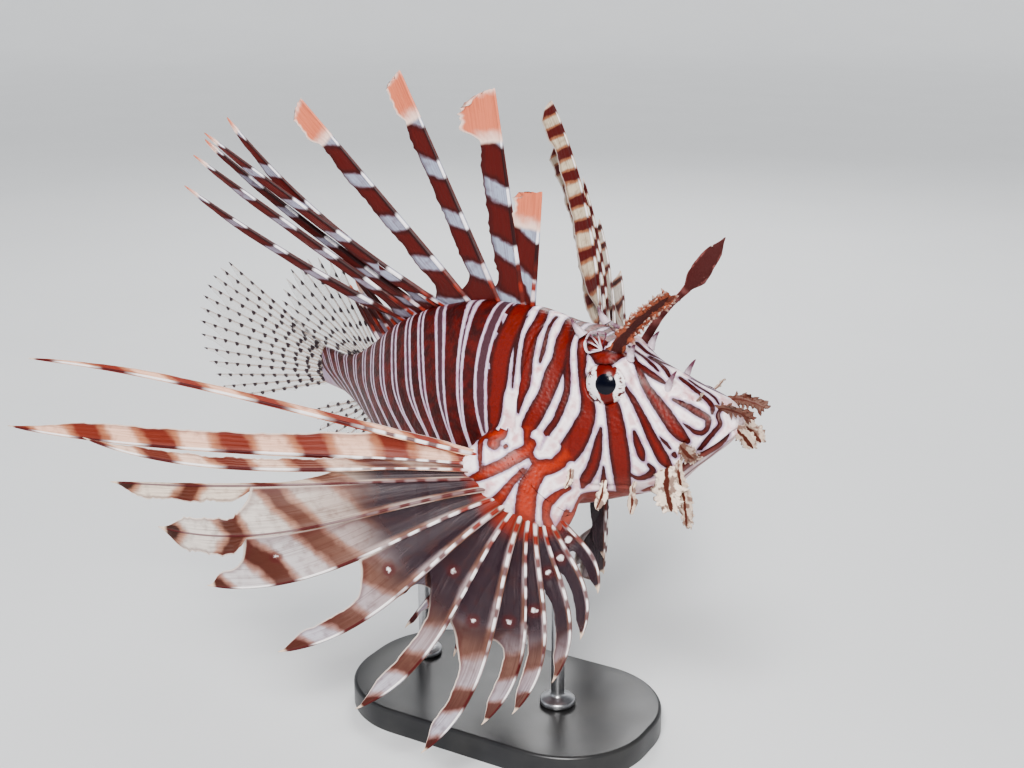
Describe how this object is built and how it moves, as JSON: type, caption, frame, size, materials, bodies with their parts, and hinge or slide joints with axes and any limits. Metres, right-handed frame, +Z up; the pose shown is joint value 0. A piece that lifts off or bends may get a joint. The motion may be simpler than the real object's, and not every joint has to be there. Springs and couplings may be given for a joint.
{
  "type": "red lionfish display model",
  "caption": "Life-size striped lionfish with fanned pectoral fins, tall dorsal spines and head tentacles, held over a plain flat stand by two short rods.",
  "frame": {"origin": "centre of the underside of the stand's base, where it rests on a table", "axes": "+X the way the head faces, +Y to the fish's left, +Z up"},
  "size_m": [0.3095, 0.2723, 0.2525],
  "materials": {
    "skin": "satin, painted in white and dark red bars",
    "eye": "clear gloss",
    "tentacle": "satin",
    "spiny_fin": "satin, banded in dark red and cream",
    "clear_fin": "satin, thin and partly clear, with rows of dark spots",
    "stand_base": "satin black",
    "stand_rod": "brushed"
  },
  "bodies": {
    "root": {"head": "skin", "lower_jaw": "skin", "torso": "skin", "tail": "skin", "eye_right": "eye", "eye_left": "eye", "tentacle_right": "tentacle", "tentacle_left": "tentacle", "pectoral_fin_right": "spiny_fin", "pectoral_fin_left": "spiny_fin", "pelvic_fin_right": "spiny_fin", "pelvic_fin_left": "spiny_fin", "dorsal_fin": "spiny_fin", "soft_dorsal_fin": "clear_fin", "anal_fin": "clear_fin", "caudal_fin": "clear_fin", "stand_base": "stand_base", "stand_rod_front": "stand_rod", "stand_rod_rear": "stand_rod"}
  },
  "joints": []
}
